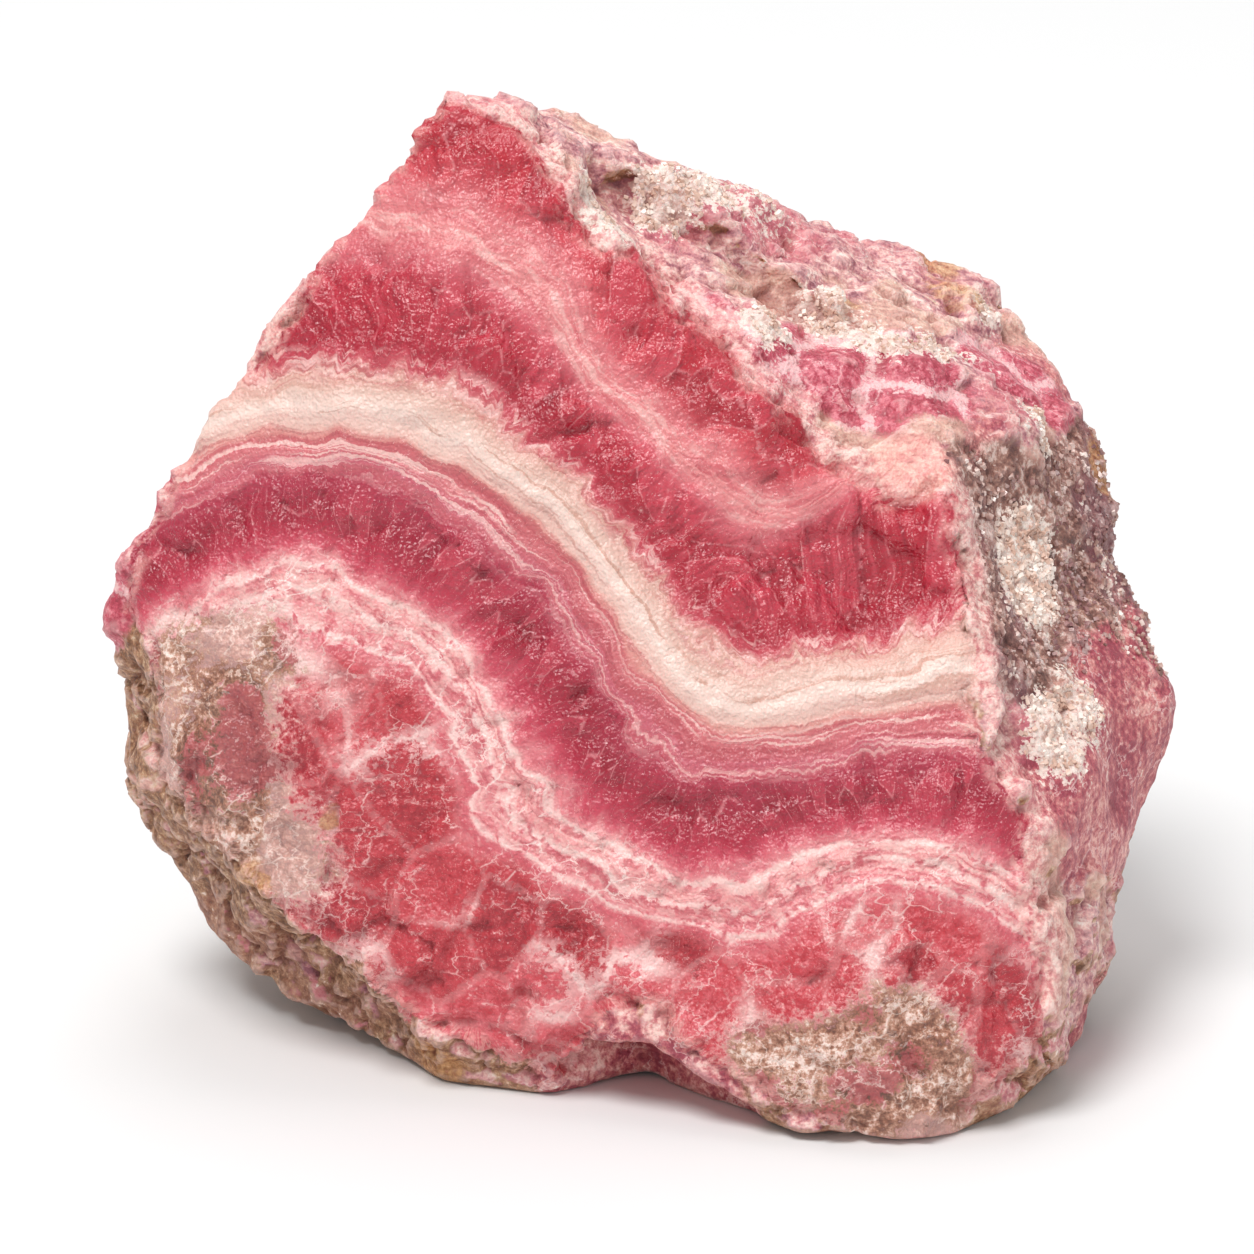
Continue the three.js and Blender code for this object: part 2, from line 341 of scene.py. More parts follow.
def lattice_noise(places, size, seed):
    """A smooth seeded noise of about -1 to 1 at places given in millimetres."""
    grid = places / size + seed * 17.31
    cell = np.floor(grid).astype(np.int64)
    part = grid - cell
    ease = part * part * (3 - 2 * part)
    total = np.zeros(places.shape[1])
    for corner in range(8):
        offset = np.array([(corner >> k) & 1 for k in range(3)])[:, None]
        x, y, z = cell + offset
        mixed = (x * 73856093) ^ (y * 19349663) ^ (z * 83492791) ^ (seed * 2654435)
        mixed = (mixed ^ (mixed >> 13)) * 1274126177
        level = ((mixed >> 8) & 0xFFFF) / 32767.5 - 1
        weight = np.prod(np.where(offset == 1, ease, 1 - ease), axis=0)
        total += weight * level
    return total


def inside_distance(across, rise, outline):
    """Signed distance to a closed outline, in millimetres: above 0 inside it."""
    best = np.full(across.shape, 1e9)
    inside = np.zeros(across.shape, bool)
    for (ax, ay), (bx, by) in zip(outline, outline[1:] + outline[:1]):
        ex, ey = bx - ax, by - ay
        along = np.clip(((across - ax) * ex + (rise - ay) * ey) / (ex * ex + ey * ey), 0, 1)
        best = np.minimum(best, np.hypot(across - ax - along * ex, rise - ay - along * ey))
        crosses = (ay > rise) != (by > rise)
        if ey:
            inside ^= crosses & (across < ax + (rise - ay) * ex / ey)
    return np.where(inside, best, -best)


def patch_weight(places, patches):
    total = np.zeros(places.shape[1])
    for across, rise, depth, reach in patches:
        away = places - np.array([across, rise, depth])[:, None]
        total += np.exp(-(away * away).sum(axis=0) / (reach * reach))
    return np.clip(total, 0, 1)


def turn_about(across, rise, heart, start, way):
    """The turn about a heart from the direction of start: way 1 is against the clock, -1 with it."""
    turn = np.arctan2(rise - heart[1], across - heart[0])
    turn = (turn - math.atan2(start[1] - heart[1], start[0] - heart[0])) * way
    return (turn + np.pi) % (2 * np.pi) - np.pi


def bridged(near, far, width):
    """The lesser of two distances, with a soft bridge of that width where they are alike."""
    gap = np.clip(width - np.abs(near - far), 0, None) / width
    return np.minimum(near, far) - gap * gap * width / 4


def growth_places(places):
    """Each point's layer, told as millimetres of growth, and its place along that layer."""
    across, rise, depth = places
    deep = np.clip((depth - 16) / 40, 0, 1)
    across = across + 7 * deep * lattice_noise(places, 26, 3)
    rise = rise + 7 * deep * lattice_noise(places, 26, 4)
    ages = [start + pace * np.hypot(across - x, rise - y) for x, y, start, pace in HEARTS]
    grown = bridged(ages[0], ages[3], WIDE_BRIDGE)
    for age in ages[1:3]:
        grown = bridged(grown, age, LOW_BRIDGE)
    for *centre, reach, shift in LAYER_SHIFTS:
        grown = grown + shift * patch_weight(places, [(*centre, reach)])
    grown = grown + (PINCHED_LEVEL - grown) * patch_weight(places, PINCHES)

    # the turns about neighbouring hearts mirror each other, so that they agree where the layers meet
    first, second, third, last = (heart[:2] for heart in HEARTS)
    first_offset = turn_about(*last, first, second, 1)
    last_offset = turn_about(*first, last, third, -1)
    step = first_offset - last_offset
    turns = (
        turn_about(across, rise, first, second, 1),
        np.minimum(turn_about(across, rise, second, first, -1), turn_about(across, rise, second, third, 1)),
        np.minimum(turn_about(across, rise, third, second, -1),
                   turn_about(across, rise, third, last, 1) + step),
        turn_about(across, rise, last, third, -1) + step,
    )
    along = np.choose(np.argmin(ages, axis=0), turns) * 40

    # the layers swell and sag, and each is scalloped
    grown = grown + 1.2 * lattice_noise(places, 19, 11) + 0.7 * lattice_noise(places, 8, 12)
    grown = grown + 1.5 * (np.abs(lattice_noise(places, 6, 13)) - 0.3)
    grown = grown + 0.5 * lattice_noise(places, 3.1, 14) + 0.28 * lattice_noise(places, 1.6, 15)
    along = along + 1.6 * lattice_noise(places, 7, 16) + 0.7 * lattice_noise(places, 3, 17)
    return grown, along


def store(mesh, name, values):
    """Keeps one number, or three, for each vertex of a mesh."""
    rows = np.atleast_2d(np.asarray(values, np.float32))
    kind = "FLOAT" if len(rows) == 1 else "FLOAT_VECTOR"
    if name in mesh.attributes:
        mesh.attributes.remove(mesh.attributes[name])
    layer = mesh.attributes.new(name, kind, "POINT")
    layer.data.foreach_set("value" if len(rows) == 1 else "vector", rows.T.ravel())


def vertex_array(mesh, what="co"):
    source = mesh.vertices if what == "co" else mesh.vertex_normals
    flat = np.empty(len(mesh.vertices) * 3, np.float32)
    source.foreach_get("co" if what == "co" else "vector", flat)
    return flat.reshape(-1, 3).astype(float)


def store_regions(mesh):
    """Keeps on a mesh what lies where: the layers, the broken faces and what grew on the rest."""
    points = vertex_array(mesh)
    normals = vertex_array(mesh, "normal")
    places = face_places(points)
    across, rise, depth = places
    store(mesh, "layers", (*growth_places(places), depth))

    coarse = lattice_noise(places, 9, 21)
    middling = lattice_noise(places, 3.7, 22)
    small = lattice_noise(places, 1.6, 23)
    fray = 0.9 * middling + 0.7 * small

    front_depth = 7.8 - 0.18 * across + 0.04 * rise
    face = inside_distance(across, rise, FACE_OUTLINE)
    face = np.minimum(face, front_depth + 9 - depth)
    broken = (patch_weight(places, PATCHES["break"]) - 0.5) * 16 + 2.5 * coarse
    face = np.clip(np.maximum(face, np.where(depth > 30, broken, -9)) + fray, -9, 9)
    heart = patch_weight(places, PATCHES["heart"])
    heart = heart + (0.2 * coarse + 0.2 * middling + 0.1 * small) * np.clip(heart * 3, 0, 1)
    peach = patch_weight(places, PATCHES["peach"]) + 0.15 * middling
    store(mesh, "face", (face, heart, peach))

    under = np.clip(-normals[:, 2] * 1.3 + 0.15, 0, 1)
    leftward = np.clip(-normals[:, 0] * 1.1 - 0.1, 0, 1) * np.clip((22 - rise) / 12, 0, 1)
    mottle = 0.22 * coarse + 0.16 * middling + 0.1 * small
    matrix = np.maximum(under, leftward) + mottle
    druse, nodule, white, rust, pink = (
        patch_weight(places, PATCHES[name]) + share * mottle
        for name, share in (("druse", 0.9), ("nodule", 0.6), ("white", 1.3), ("rust", 1.3), ("pink", 1.0)))
    store(mesh, "crust", (matrix, druse, nodule))
    store(mesh, "stains", (white, rust, pink))
    store(mesh, "mottle", (coarse, middling, lattice_noise(places, 5, 24)))


# ---- the stone's surface, worked out by a Geometry Nodes tree ----

def geometry_board(name, inputs):
    """A Geometry Nodes tree with named inputs; gives the board, its input node and its output node."""
    tree = bpy.data.node_groups.new(name, "GeometryNodeTree")
    tree.interface.new_socket("Geometry", in_out="INPUT", socket_type="NodeSocketGeometry")
    for label, default in inputs.items():
        kind = "NodeSocketInt" if isinstance(default, int) else "NodeSocketFloat"
        made = tree.interface.new_socket(label, in_out="INPUT", socket_type=kind)
        made.default_value = default
    tree.interface.new_socket("Geometry", in_out="OUTPUT", socket_type="NodeSocketGeometry")
    board = Board(tree)
    entry = board.node("NodeGroupInput")
    leave = board.node("NodeGroupOutput")
    return board, {s.name: Wire(board, s) for s in entry.outputs if s.name}, leave


def kept_parts(board, name):
    """The three numbers that a mesh keeps under a name."""
    return board.parts(board.add(
        "GeometryNodeInputNamedAttribute", {"data_type": "FLOAT_VECTOR"}, {"Name": name}))


def facets(board, place, size, tilt):
    """Cleavage facets of about size millimetres with soft edges, each tilted its own way."""
    cells = board.node("ShaderNodeTexVoronoi", {"feature": "SMOOTH_F1"},
                       {"Vector": place, "Scale": 1 / size, "Smoothness": 0.18})
    way = board.vector_maths("SUBTRACT", Wire(board, cells.outputs["Color"]), (0.5, 0.5, 0.5))
    off = board.vector_maths("SUBTRACT", place, Wire(board, cells.outputs["Position"]))
    return board.vector_maths("DOT_PRODUCT", way, off, out="Value") * (2 * tilt)


def grains(board, place, size):
    """Rounded grains of about size millimetres side by side: 0 between them, 1 on their tops."""
    near = board.add("ShaderNodeTexVoronoi", {"feature": "SMOOTH_F1"},
                     {"Vector": place, "Scale": 1 / size, "Smoothness": 0.2}, "Distance")
    return 1.0 - board.step(near, 0.0, 0.8)


def block_cells(board, place):
    """Big rounded blocks and plates: the distance to the nearest edge and each one's own number."""
    coarse, middling, third = kept_parts(board, "mottle")
    wander = board.vector_maths("SCALE", board.vector(middling, third, coarse), scale=1.3)
    spot = board.vector_maths("MULTIPLY", board.vector_maths("ADD", place, wander), (1.0, 0.6, 1.0))
    return board.edge_distance(spot, 0.13), board.cell_number(spot, 0.13)


def surface_tree():
    """Raises and breaks the stone's surface along its normals."""
    board, given, leave = geometry_board("Broken surface", {"Lumps": 0.9, "Grains": 0.85})
    place = board.vector_maths("SCALE", board.add("GeometryNodeInputPosition"), scale=1 / MM)
    normal = board.add("GeometryNodeInputNormal")
    face, heart, peach = kept_parts(board, "face")
    level, along, depth = kept_parts(board, "layers")
    matrix, druse, nodule = kept_parts(board, "crust")
    white, _, pink = kept_parts(board, "stains")

    front = board.step(face, -0.6, 0.6)
    foot = board.step(board.parts(place)[2], 0.3, 2.0)
    knobs = (board.noise(place, 0.28, 2.0, 0.5) - 0.5) * 1.9
    rough = (board.noise(place, 0.9, 3.0, 0.6) - 0.5) * 0.9

    # the crusted sides: broad lumps, broken flakes, knobs and, in the matrix, pits
    rocky = board.step(matrix, 0.2, 0.7)
    lumpy = (board.noise(place, 0.075, 1.0) - 0.5) * 2.2
    side_rise = (lumpy * (0.5 + 0.5 * rocky) + knobs * (0.25 + 0.5 * rocky) + rough * 0.6) * given["Lumps"]
    flakes = facets(board, place, 6.5, 0.2) + facets(board, place, 2.8, 0.24)
    side_rise = side_rise + flakes * (1.0 - 0.5 * rocky)
    pits = board.step(board.ridges(place, 0.13, 2.0), 0.93, 1.0)
    side_rise = side_rise - pits * rocky
    lumps = grains(board, place, 5.0) * 1.0 + grains(board, place, 2.0) * 0.22
    side_rise = side_rise + board.step(matrix, 0.2, 0.6) * (lumps * given["Lumps"] - 0.4)

    # the rounded pink nodules, sugary druse and white crumbs
    block_edge, _ = block_cells(board, place)
    beads = board.step(block_edge, 0.0, 0.4) * 1.3 - 0.6 + facets(board, place, 2.8, 0.14) + rough * 0.2
    side_rise = board.mingle(side_rise, beads, board.step(nodule, 0.25, 0.75) * 0.85)
    side_rise = board.mingle(side_rise, rough * 0.3 + knobs * 0.15, board.step(peach, 0.25, 0.6))
    smooth_lumps = grains(board, place, 10.0) * 1.6 - 0.6 + knobs * 0.5 + rough * 0.2
    side_rise = board.mingle(side_rise, smooth_lumps, board.step(pink, 0.3, 0.7) * 0.8)
    side_rise = board.mingle(side_rise, lumpy + knobs * 0.5, board.step(druse, 0.3, 0.7) * 0.6)
    druse_rise = (grains(board, place, 3.6) * 0.85 + grains(board, place, 1.5) * 0.2) * given["Grains"]
    side_rise = side_rise + board.step(druse, 0.3, 0.6) * (druse_rise - 0.5)
    side_rise = side_rise + board.step(white, 0.35, 0.65) * (grains(board, place, 1.3) * 0.35 + 0.1)

    # the broken face: shallow waves, cleavage facets and each layer's own relief
    waves = (board.noise(place, 0.055, 1.0) - 0.5) * 2.0 + (board.noise(place, 0.16, 2.0) - 0.5) * 0.9
    crystal = board.bell(level, 49.5, 8.0) + board.bell(level, 27.0, 5.0) + board.bell(level, 63.0, 6.0)
    crystal = crystal + board.step(level, 15.0, 12.0)
    cleave = facets(board, place, 4.6, 0.24) + facets(board, place, 2.0, 0.2)
    front_rise = waves + cleave * (0.3 + 0.7 * crystal)
    crumbly = board.bell(level, 20.0, 4.5) + board.bell(level, 57.5, 2.5) * 0.5
    front_rise = front_rise + crumbly * (rough * 1.1 + facets(board, place, 2.6, 0.3))
    pale = board.bell(level, 38.5, 3.8)
    front_rise = front_rise + pale * (0.4 + rough * 1.0 + grains(board, place, 2.4) * 0.35)
    ledge_place = board.vector(level * 0.95, along * 0.05, depth * 0.03)
    ledges = board.noise(ledge_place, 1.0, 1.0) - 0.5
    front_rise = front_rise + ledges * 0.8 * board.bell(level, 35.0, 8.0)
    granular = board.step(heart, 0.4, 0.8)
    front_rise = front_rise + granular * (knobs * 0.6 + grains(board, place, 2.3) * 0.5 + rough * 0.4 - 0.3)
    front_rise = front_rise + (board.noise(place, 1.5, 2.0) - 0.5) * 0.2

    rise = front_rise * front + side_rise * (1.0 - front)
    # the edges of the face are chipped
    chipped = board.step(abs(face), 1.8, 0.0) * board.step(board.noise(place, 0.42, 2.0), 0.42, 0.62)
    rise = rise - chipped * 0.9
    offset = board.vector_maths("SCALE", normal, scale=rise * foot * MM)
    moved = board.add("GeometryNodeSetPosition", None, {"Geometry": given["Geometry"], "Offset": offset})
    board.tree.links.new(moved.socket, leave.inputs[0])
    return board.tree


def detail_tree():
    """Keeps how deep each point lies in a hollow (below 0: how far it stands out) and the big blocks."""
    board, given, leave = geometry_board("Details", {"Reach": 14})
    place = board.add("GeometryNodeInputPosition")
    normal = board.add("GeometryNodeInputNormal")
    spot = board.vector_maths("SCALE", place, scale=1 / MM)
    edge, block_tint = block_cells(board, spot)
    found = []
    for reach in (given["Reach"], 3):
        around = board.add("GeometryNodeBlurAttribute", {"data_type": "FLOAT_VECTOR"},
                           {"Value": place, "Iterations": reach})
        away = board.vector_maths("SUBTRACT", around, place)
        found.append(board.vector_maths("DOT_PRODUCT", away, normal, out="Value") / MM)
    kept = given["Geometry"]
    blocks = board.vector(edge, block_tint, board.cell_number(spot, 0.5))
    for name, value in (("hollow", board.vector(*found)), ("blocks", blocks)):
        kept = board.add(
            "GeometryNodeStoreNamedAttribute", {"data_type": "FLOAT_VECTOR", "domain": "POINT"},
            {"Geometry": kept, "Name": name, "Value": value})
    board.tree.links.new(kept.socket, leave.inputs[0])
    return board.tree


def grain_tree(material):
    """Scatters small cleavage rhombs over the druse and the white crusts."""
    board, given, leave = geometry_board("Small crystals", {"Density": 1.0, "Size": 1.0, "Seed": 1})
    _, druse, _ = kept_parts(board, "crust")
    white, _, _ = kept_parts(board, "stains")
    face, _, _ = kept_parts(board, "face")
    share = board.step(druse, 0.4, 0.9) * 0.36 + board.step(white, 0.4, 0.7) * 0.6
    share = share * board.step(face, -1.4, -2.6)
    points = board.add("GeometryNodeDistributePointsOnFaces", None, {
        "Mesh": given["Geometry"], "Density": share * given["Density"], "Seed": given["Seed"]}, "Points")
    rhomb = board.add("GeometryNodeMeshCube", None, {"Size": (1.0, 0.85, 0.7)}, "Mesh")
    turn = board.add("FunctionNodeRandomValue", {"data_type": "FLOAT_VECTOR"},
                     {"Max": (math.tau, math.tau, math.tau), "Seed": given["Seed"]}, "Value")
    size = board.add("FunctionNodeRandomValue", {"data_type": "FLOAT"},
                     {"Min": 0.45, "Max": 1.35, "Seed": given["Seed"] + 1}, "Value")
    set_out = board.add("GeometryNodeInstanceOnPoints", None, {
        "Points": points, "Instance": rhomb, "Rotation": turn, "Scale": size * given["Size"]})
    real = board.add("GeometryNodeRealizeInstances", None, {"Geometry": set_out})
    painted = board.add("GeometryNodeSetMaterial", None, {"Geometry": real, "Material": material})
    board.tree.links.new(painted.socket, leave.inputs[0])
    return board.tree


def run_tree(subject, tree, values=None):
    """Lets a Geometry Nodes tree make a plain mesh from an object's mesh, which it then takes."""
    modifier = subject.modifiers.new(tree.name, "NODES")
    modifier.node_group = tree
    sockets = {item.name: item.identifier for item in tree.interface.items_tree if item.in_out == "INPUT"}
    for label, value in (values or {}).items():
        modifier[sockets[label]] = value
    take_result(subject)


def take_result(subject):
    """The evaluated mesh becomes the object's own, and its modifiers go."""
    graph = bpy.context.evaluated_depsgraph_get()
    result = bpy.data.meshes.new_from_object(subject.evaluated_get(graph), depsgraph=graph)
    subject.modifiers.clear()
    old = subject.data
    subject.data = result
    result.name = subject.name
    bpy.data.meshes.remove(old)


def link_object(name, mesh):
    made = bpy.data.objects.new(name, mesh)
    bpy.context.scene.collection.objects.link(made)
    return made


def triangle_count(mesh):
    return sum(len(face.vertices) - 2 for face in mesh.polygons)


def fine_body(name, mesh_step):
    """The frame's solid as one fine even mesh, its flat facets softened."""
    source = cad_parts[NODE].data
    step = mesh_step
    while True:
        body = link_object(name, source.copy())
        weld = body.modifiers.new("Weld", "WELD")
        weld.merge_threshold = 0.01 * MM
        remesh = body.modifiers.new("Even mesh", "REMESH")
        remesh.mode = "VOXEL"
        remesh.voxel_size = step
        soften = body.modifiers.new("Soften", "SMOOTH")
        soften.factor = 0.5
        soften.iterations = 10
        take_result(body)
        if triangle_count(body.data) < MOST_TRIANGLES:
            return body
        bpy.data.objects.remove(body)
        step *= 1.02


def level_foot(mesh):
    """The foot rests on the ground: nothing reaches below it."""
    points = vertex_array(mesh)
    points[:, 2] = np.maximum(points[:, 2], 0.0)
    mesh.vertices.foreach_set("co", points.astype(np.float32).ravel())
    mesh.update()


# ---- the stone's finish ----

def new_finish(name):
    """An empty material: itself, its board and the place on the object in millimetres."""
    material = bpy.data.materials.new(name)
    material.use_nodes = True
    material.node_tree.nodes.clear()
    board = Board(material.node_tree)
    seen = Wire(board, board.node("ShaderNodeTexCoord").outputs["Object"])
    return material, board, board.vector_maths("SCALE", seen, scale=1 / MM)


def show(board, shader, kind="ShaderNodeOutputMaterial"):
    """The shader is what the material, or the world, shows."""
    leave = board.node(kind)
    board.tree.links.new(shader.socket, leave.inputs[0])


def kept_vector(board, name):
    return board.parts(board.add("ShaderNodeAttribute", {"attribute_name": name}, None, "Vector"))


def layer_colours(board, settings, level, along, depth, grit, silky, mottle, blocks, flake, rims):
    """The colours of the growth layers on a broken face."""
    # crystal tips point back at the heart along the inner side of the big red layers
    broad_tip, narrow_tip = (
        0.5 - board.add("ShaderNodeTexVoronoi", {"voronoi_dimensions": "1D"},
                        {"W": along, "Scale": scale}, "Distance") * 2.0
        for scale in (0.3, 0.95))
    toothed = board.bell(level, 44.5, 5.0) + board.bell(level, 24.0, 4.0) * 0.45
    toothed = toothed + board.bell(level, 11.0, 4.0) * 0.5 + board.bell(level, 31.0, 1.8) * 0.25
    fine_level = level + (grit - 0.5) * 0.9
    fine_level = fine_level + (broad_tip * 1.5 + narrow_tip * 0.8) * toothed

    ramp_end = 80.0
    stops = [
        (13.6, "#CB5560"),
        (14.4, "#E39499"), (15.2, "#DA7681"), (17.0, "#E69A9E"), (19.5, "#EDB0AF"), (21.4, "#E79BA0"),
        (22.6, "#D26073"), (24.4, "#BE4059"), (27.0, settings.raspberry), (30.2, "#BA465F"),
        (31.2, "#D48189"),
        (32.0, "#CE7382"), (33.2, "#DA8A8F"), (34.6, "#D27A80"), (35.3, "#E2A8A1"), (36.0, "#EAC7BD"),
        (37.9, settings.cream), (40.0, "#E6C6BB"), (41.4, "#DEB3A7"), (42.6, "#DE9B99"), (43.6, "#D0606E"),
        (45.2, settings.deep_red), (49.0, "#C13A4F"), (51.8, "#C84A5C"), (53.8, "#DB7B85"),
        (56.4, settings.rose),
        (60.0, "#E38C91"), (62.0, "#DA6670"), (63.8, "#C93F4F"), (67.0, "#C23A4B"), (74.0, "#CB5460"),
    ]
    base = board.ramp(fine_level / ramp_end, [(mm / ramp_end, colour) for mm, colour in stops])

    # the fine lines of the pale layers
    lines = board.noise(board.vector(fine_level * 1.35, along * 0.035, depth * 0.05), 1.0, 2.0, 0.75)
    lined = board.bell(level, 33.5, 5.0) + board.bell(level, 42.0, 2.5) * 0.7
    lined = lined + board.bell(level, 18.5, 5.0) * 0.8 + board.bell(level, 58.0, 4.0) * 0.4
    lined = board.least(lined, 1.0)
    base = board.blend(base, "#C0606A", lined * board.step(lines, 0.52, 0.62) * 0.7)
    base = board.blend(base, "#F7D9D2", lined * board.step(lines, 0.49, 0.39) * 0.75)
    cream = board.bell(level, 38.4, 3.4)
    base = board.blend(base, "#D2A595", cream * board.step(lines, 0.57, 0.66) * 0.75)

    # the big crystals: each its own depth of colour, streaked along its growth, with pale seams
    raspberry = board.bell(level, 27.0, 4.6)
    crystal = board.bell(level, 50.0, 7.5) + raspberry + board.bell(level, 64.0, 7.0)
    streaked = crystal - raspberry * 0.6
    column = board.vector(along * 0.36, fine_level * 0.15)
    tint = board.cell_number(column, 1.0, "2D")
    base = board.blend(base, "#DB6B7A", crystal * board.step(tint, 0.6, 1.0) * 0.5)
    base = board.blend(base, "#A0263C", crystal * board.step(tint, 0.4, 0.0) * 0.45)
    streak = board.noise(board.vector(along * 1.3, level * 0.28, depth * 0.2), 1.0, 2.0, 0.7)
    base = board.blend(base, "#DC7480", streaked * board.step(streak, 0.5, 0.75) * 0.6)
    base = board.blend(base, "#98213A", streaked * board.step(streak, 0.5, 0.3) * 0.5)
    seam = board.step(board.edge_distance(column, 1.0, "2D"), 0.05, 0.0) * board.step(grit, 0.4, 0.56)
    base = board.blend(base, "#EFB2B4", crystal * seam * 0.5)

    # pale wisps and crumbs along the lighter layers
    wisp = board.noise(board.vector(along * 0.3, fine_level * 0.8, depth * 0.1), 1.0, 2.0, 0.75)
    wispy = board.bell(level, 57.0, 4.5) * 0.7 + board.bell(level, 18.5, 6.5) * 0.6
    wispy = board.least(wispy + board.bell(level, 43.0, 3.0), 1.0)
    base = board.blend(base, "#F2CBC6", wispy * board.step(wisp, 0.5, 0.62) * 0.85)
    base = board.blend(base, "#C64E60", wispy * board.step(wisp, 0.45, 0.35) * 0.65)

    # the crumbly layer: thin white seams side by side, and flakes with pale rims
    white_seam = board.bell(fine_level, 16.3, 0.5) + board.bell(fine_level, 18.4, 0.6)
    white_seam = white_seam + board.bell(fine_level, 20.7, 0.7)
    flaky = board.bell(level, 18.5, 6.0)
    inside_flake = board.step(flake, 0.12, 0.4) * board.step(wisp, 0.56, 0.46)
    base = board.blend(base, "#D26C7B", flaky * inside_flake * 0.55)
    base = board.blend(base, "#FBE3DD", white_seam * board.step(wisp, 0.36, 0.5) * 0.7)

    # round the hearts, big red blocks with pale veins between them
    block_edge, block_tint, _ = blocks
    veined = board.step(mottle[2] + mottle[1] * 0.5, -0.15, 0.5)
    block = board.ramp(block_tint * 0.25 + grit * 0.5 + silky * 0.25, [
        (0.34, "#B03C49"), (0.45, "#C44A55"), (0.55, "#CF5862"),
        (0.7, "#E28088")])
    halo = board.step(block_edge + (grit - 0.5) * 0.8 + (silky - 0.5) * 0.5, 0.2, 0.06) * veined
    block = board.blend(block, "#F2C6C4", halo * 0.75)
    hair = board.step(block_edge + (grit - 0.5) * 0.15, 0.06, 0.02)
    block = board.blend(block, "#F7DAD6", hair * (0.2 + 0.5 * veined))
    inner = board.step(fine_level, 16.0, 13.5)
    base = board.blend(base, block, inner)
    base = board.blend(base, "#FBE6E1", rims * board.least(inner * 0.5 + flaky * 0.9, 1.0))
    # painted highlight: small pale specks stand in for glints of light off the crystals
    painted_glint = board.step(abs(grit - 0.5) + abs(streak - 0.52), 0.03, 0.01)
    base = board.blend(base, "#FBDDD8", painted_glint * 0.5)
    return base, crystal, wisp


def side_colours(board, settings, face, crust, stains, mottle, blocks, grit, silky, rims):
    """The colours of the crusts and the matrix on the unbroken sides."""
    matrix, druse, nodule = crust
    white, _, pink = stains
    coarse, middling, _ = mottle
    bead_edge, _, tint = blocks

    shade = silky * 0.3 + grit * 0.7
    colour = board.ramp(silky * 0.5 + grit * 0.5, [
        (0.38, "#A86F7A"), (0.45, "#CC959A"), (0.51, "#E0B1AF"),
        (0.57, "#F1D1C9"), (0.655, "#FDF2EC")])
    colour = board.blend(colour, "#D77C88", board.step(coarse + middling * 0.4, 0.0, 0.35) * 0.6)
    colour = board.blend(colour, "#DDBBA4", board.step(coarse + middling * 0.5, -0.25, -0.5) * 0.5)
    colour = board.blend(colour, "#FBEDE6", rims * 0.5)

    rock = board.ramp(shade, [
        (0.37, "#7C5236"), (0.44, "#966B4C"), (0.51, settings.matrix),
        (0.57, "#C8A283"), (0.67, "#E6D0BC")])
    rock = board.blend(rock, "#B27A74", board.step(coarse - middling * 0.6, 0.1, 0.5) * 0.3)
    colour = board.blend(colour, rock, board.step(matrix + (grit - 0.5) * 0.8, 0.25, 0.5))

    sugar = board.ramp(grit * 0.65 + tint * 0.2 + silky * 0.15, [
        (0.34, "#6E4A44"), (0.44, "#926A60"), (0.52, "#B58D80"),
        (0.62, "#E6D0C8")])
    sugar = board.blend(sugar, "#8C5A66", board.step(coarse + middling * 0.5, -0.2, 0.4) * 0.6)
    colour = board.blend(colour, sugar, board.step(druse + (grit - 0.5) * 0.5, 0.3, 0.5) * 0.94)

    rosy = board.ramp(tint * 0.06 + grit * 0.72 + silky * 0.2 + mottle[2] * 0.09, [
        (0.37, "#AC5063"), (0.45, "#C4707A"), (0.53, "#D99493"),
        (0.63, "#F1C4BD")])
    rosy = board.blend(rosy, "#FBE4E0", rims * 0.6)
    colour = board.blend(colour, rosy, board.step(pink + (grit - 0.5) * 0.5, 0.3, 0.5) * 0.92)

    beads = board.ramp(grit * 0.85 + tint * 0.06 + mottle[1] * 0.05, [
        (0.36, "#B5465C"), (0.46, "#CB6074"), (0.56, "#E18F9B")])
    beads = board.blend(beads, "#F6CFD0", rims * 0.55)
    bead = board.blend("#F5CDCE", beads, board.step(bead_edge + (grit - 0.5) * 0.4, 0.03, 0.1))
    colour = board.blend(colour, bead, board.step(nodule + (grit - 0.5) * 0.4, 0.3, 0.5) * 0.95)

    pale = board.ramp(grit, [(0.38, "#D98E92"), (0.48, "#E9B3AF"), (0.6, "#F8DDD5")])
    colour = board.blend(colour, pale, board.step(face + (grit - 0.5) * 2.5, -3.0, -1.6)
                         * board.step(matrix, 0.35, 0.05) * 0.8)

    chalk = board.ramp(grit, [(0.35, "#D6B6A9"), (0.55, "#F6E9E1")])
    colour = board.blend(colour, chalk, board.step(white + (shade - 0.5) * 2.6, 0.42, 0.55) * 0.88)
    return colour


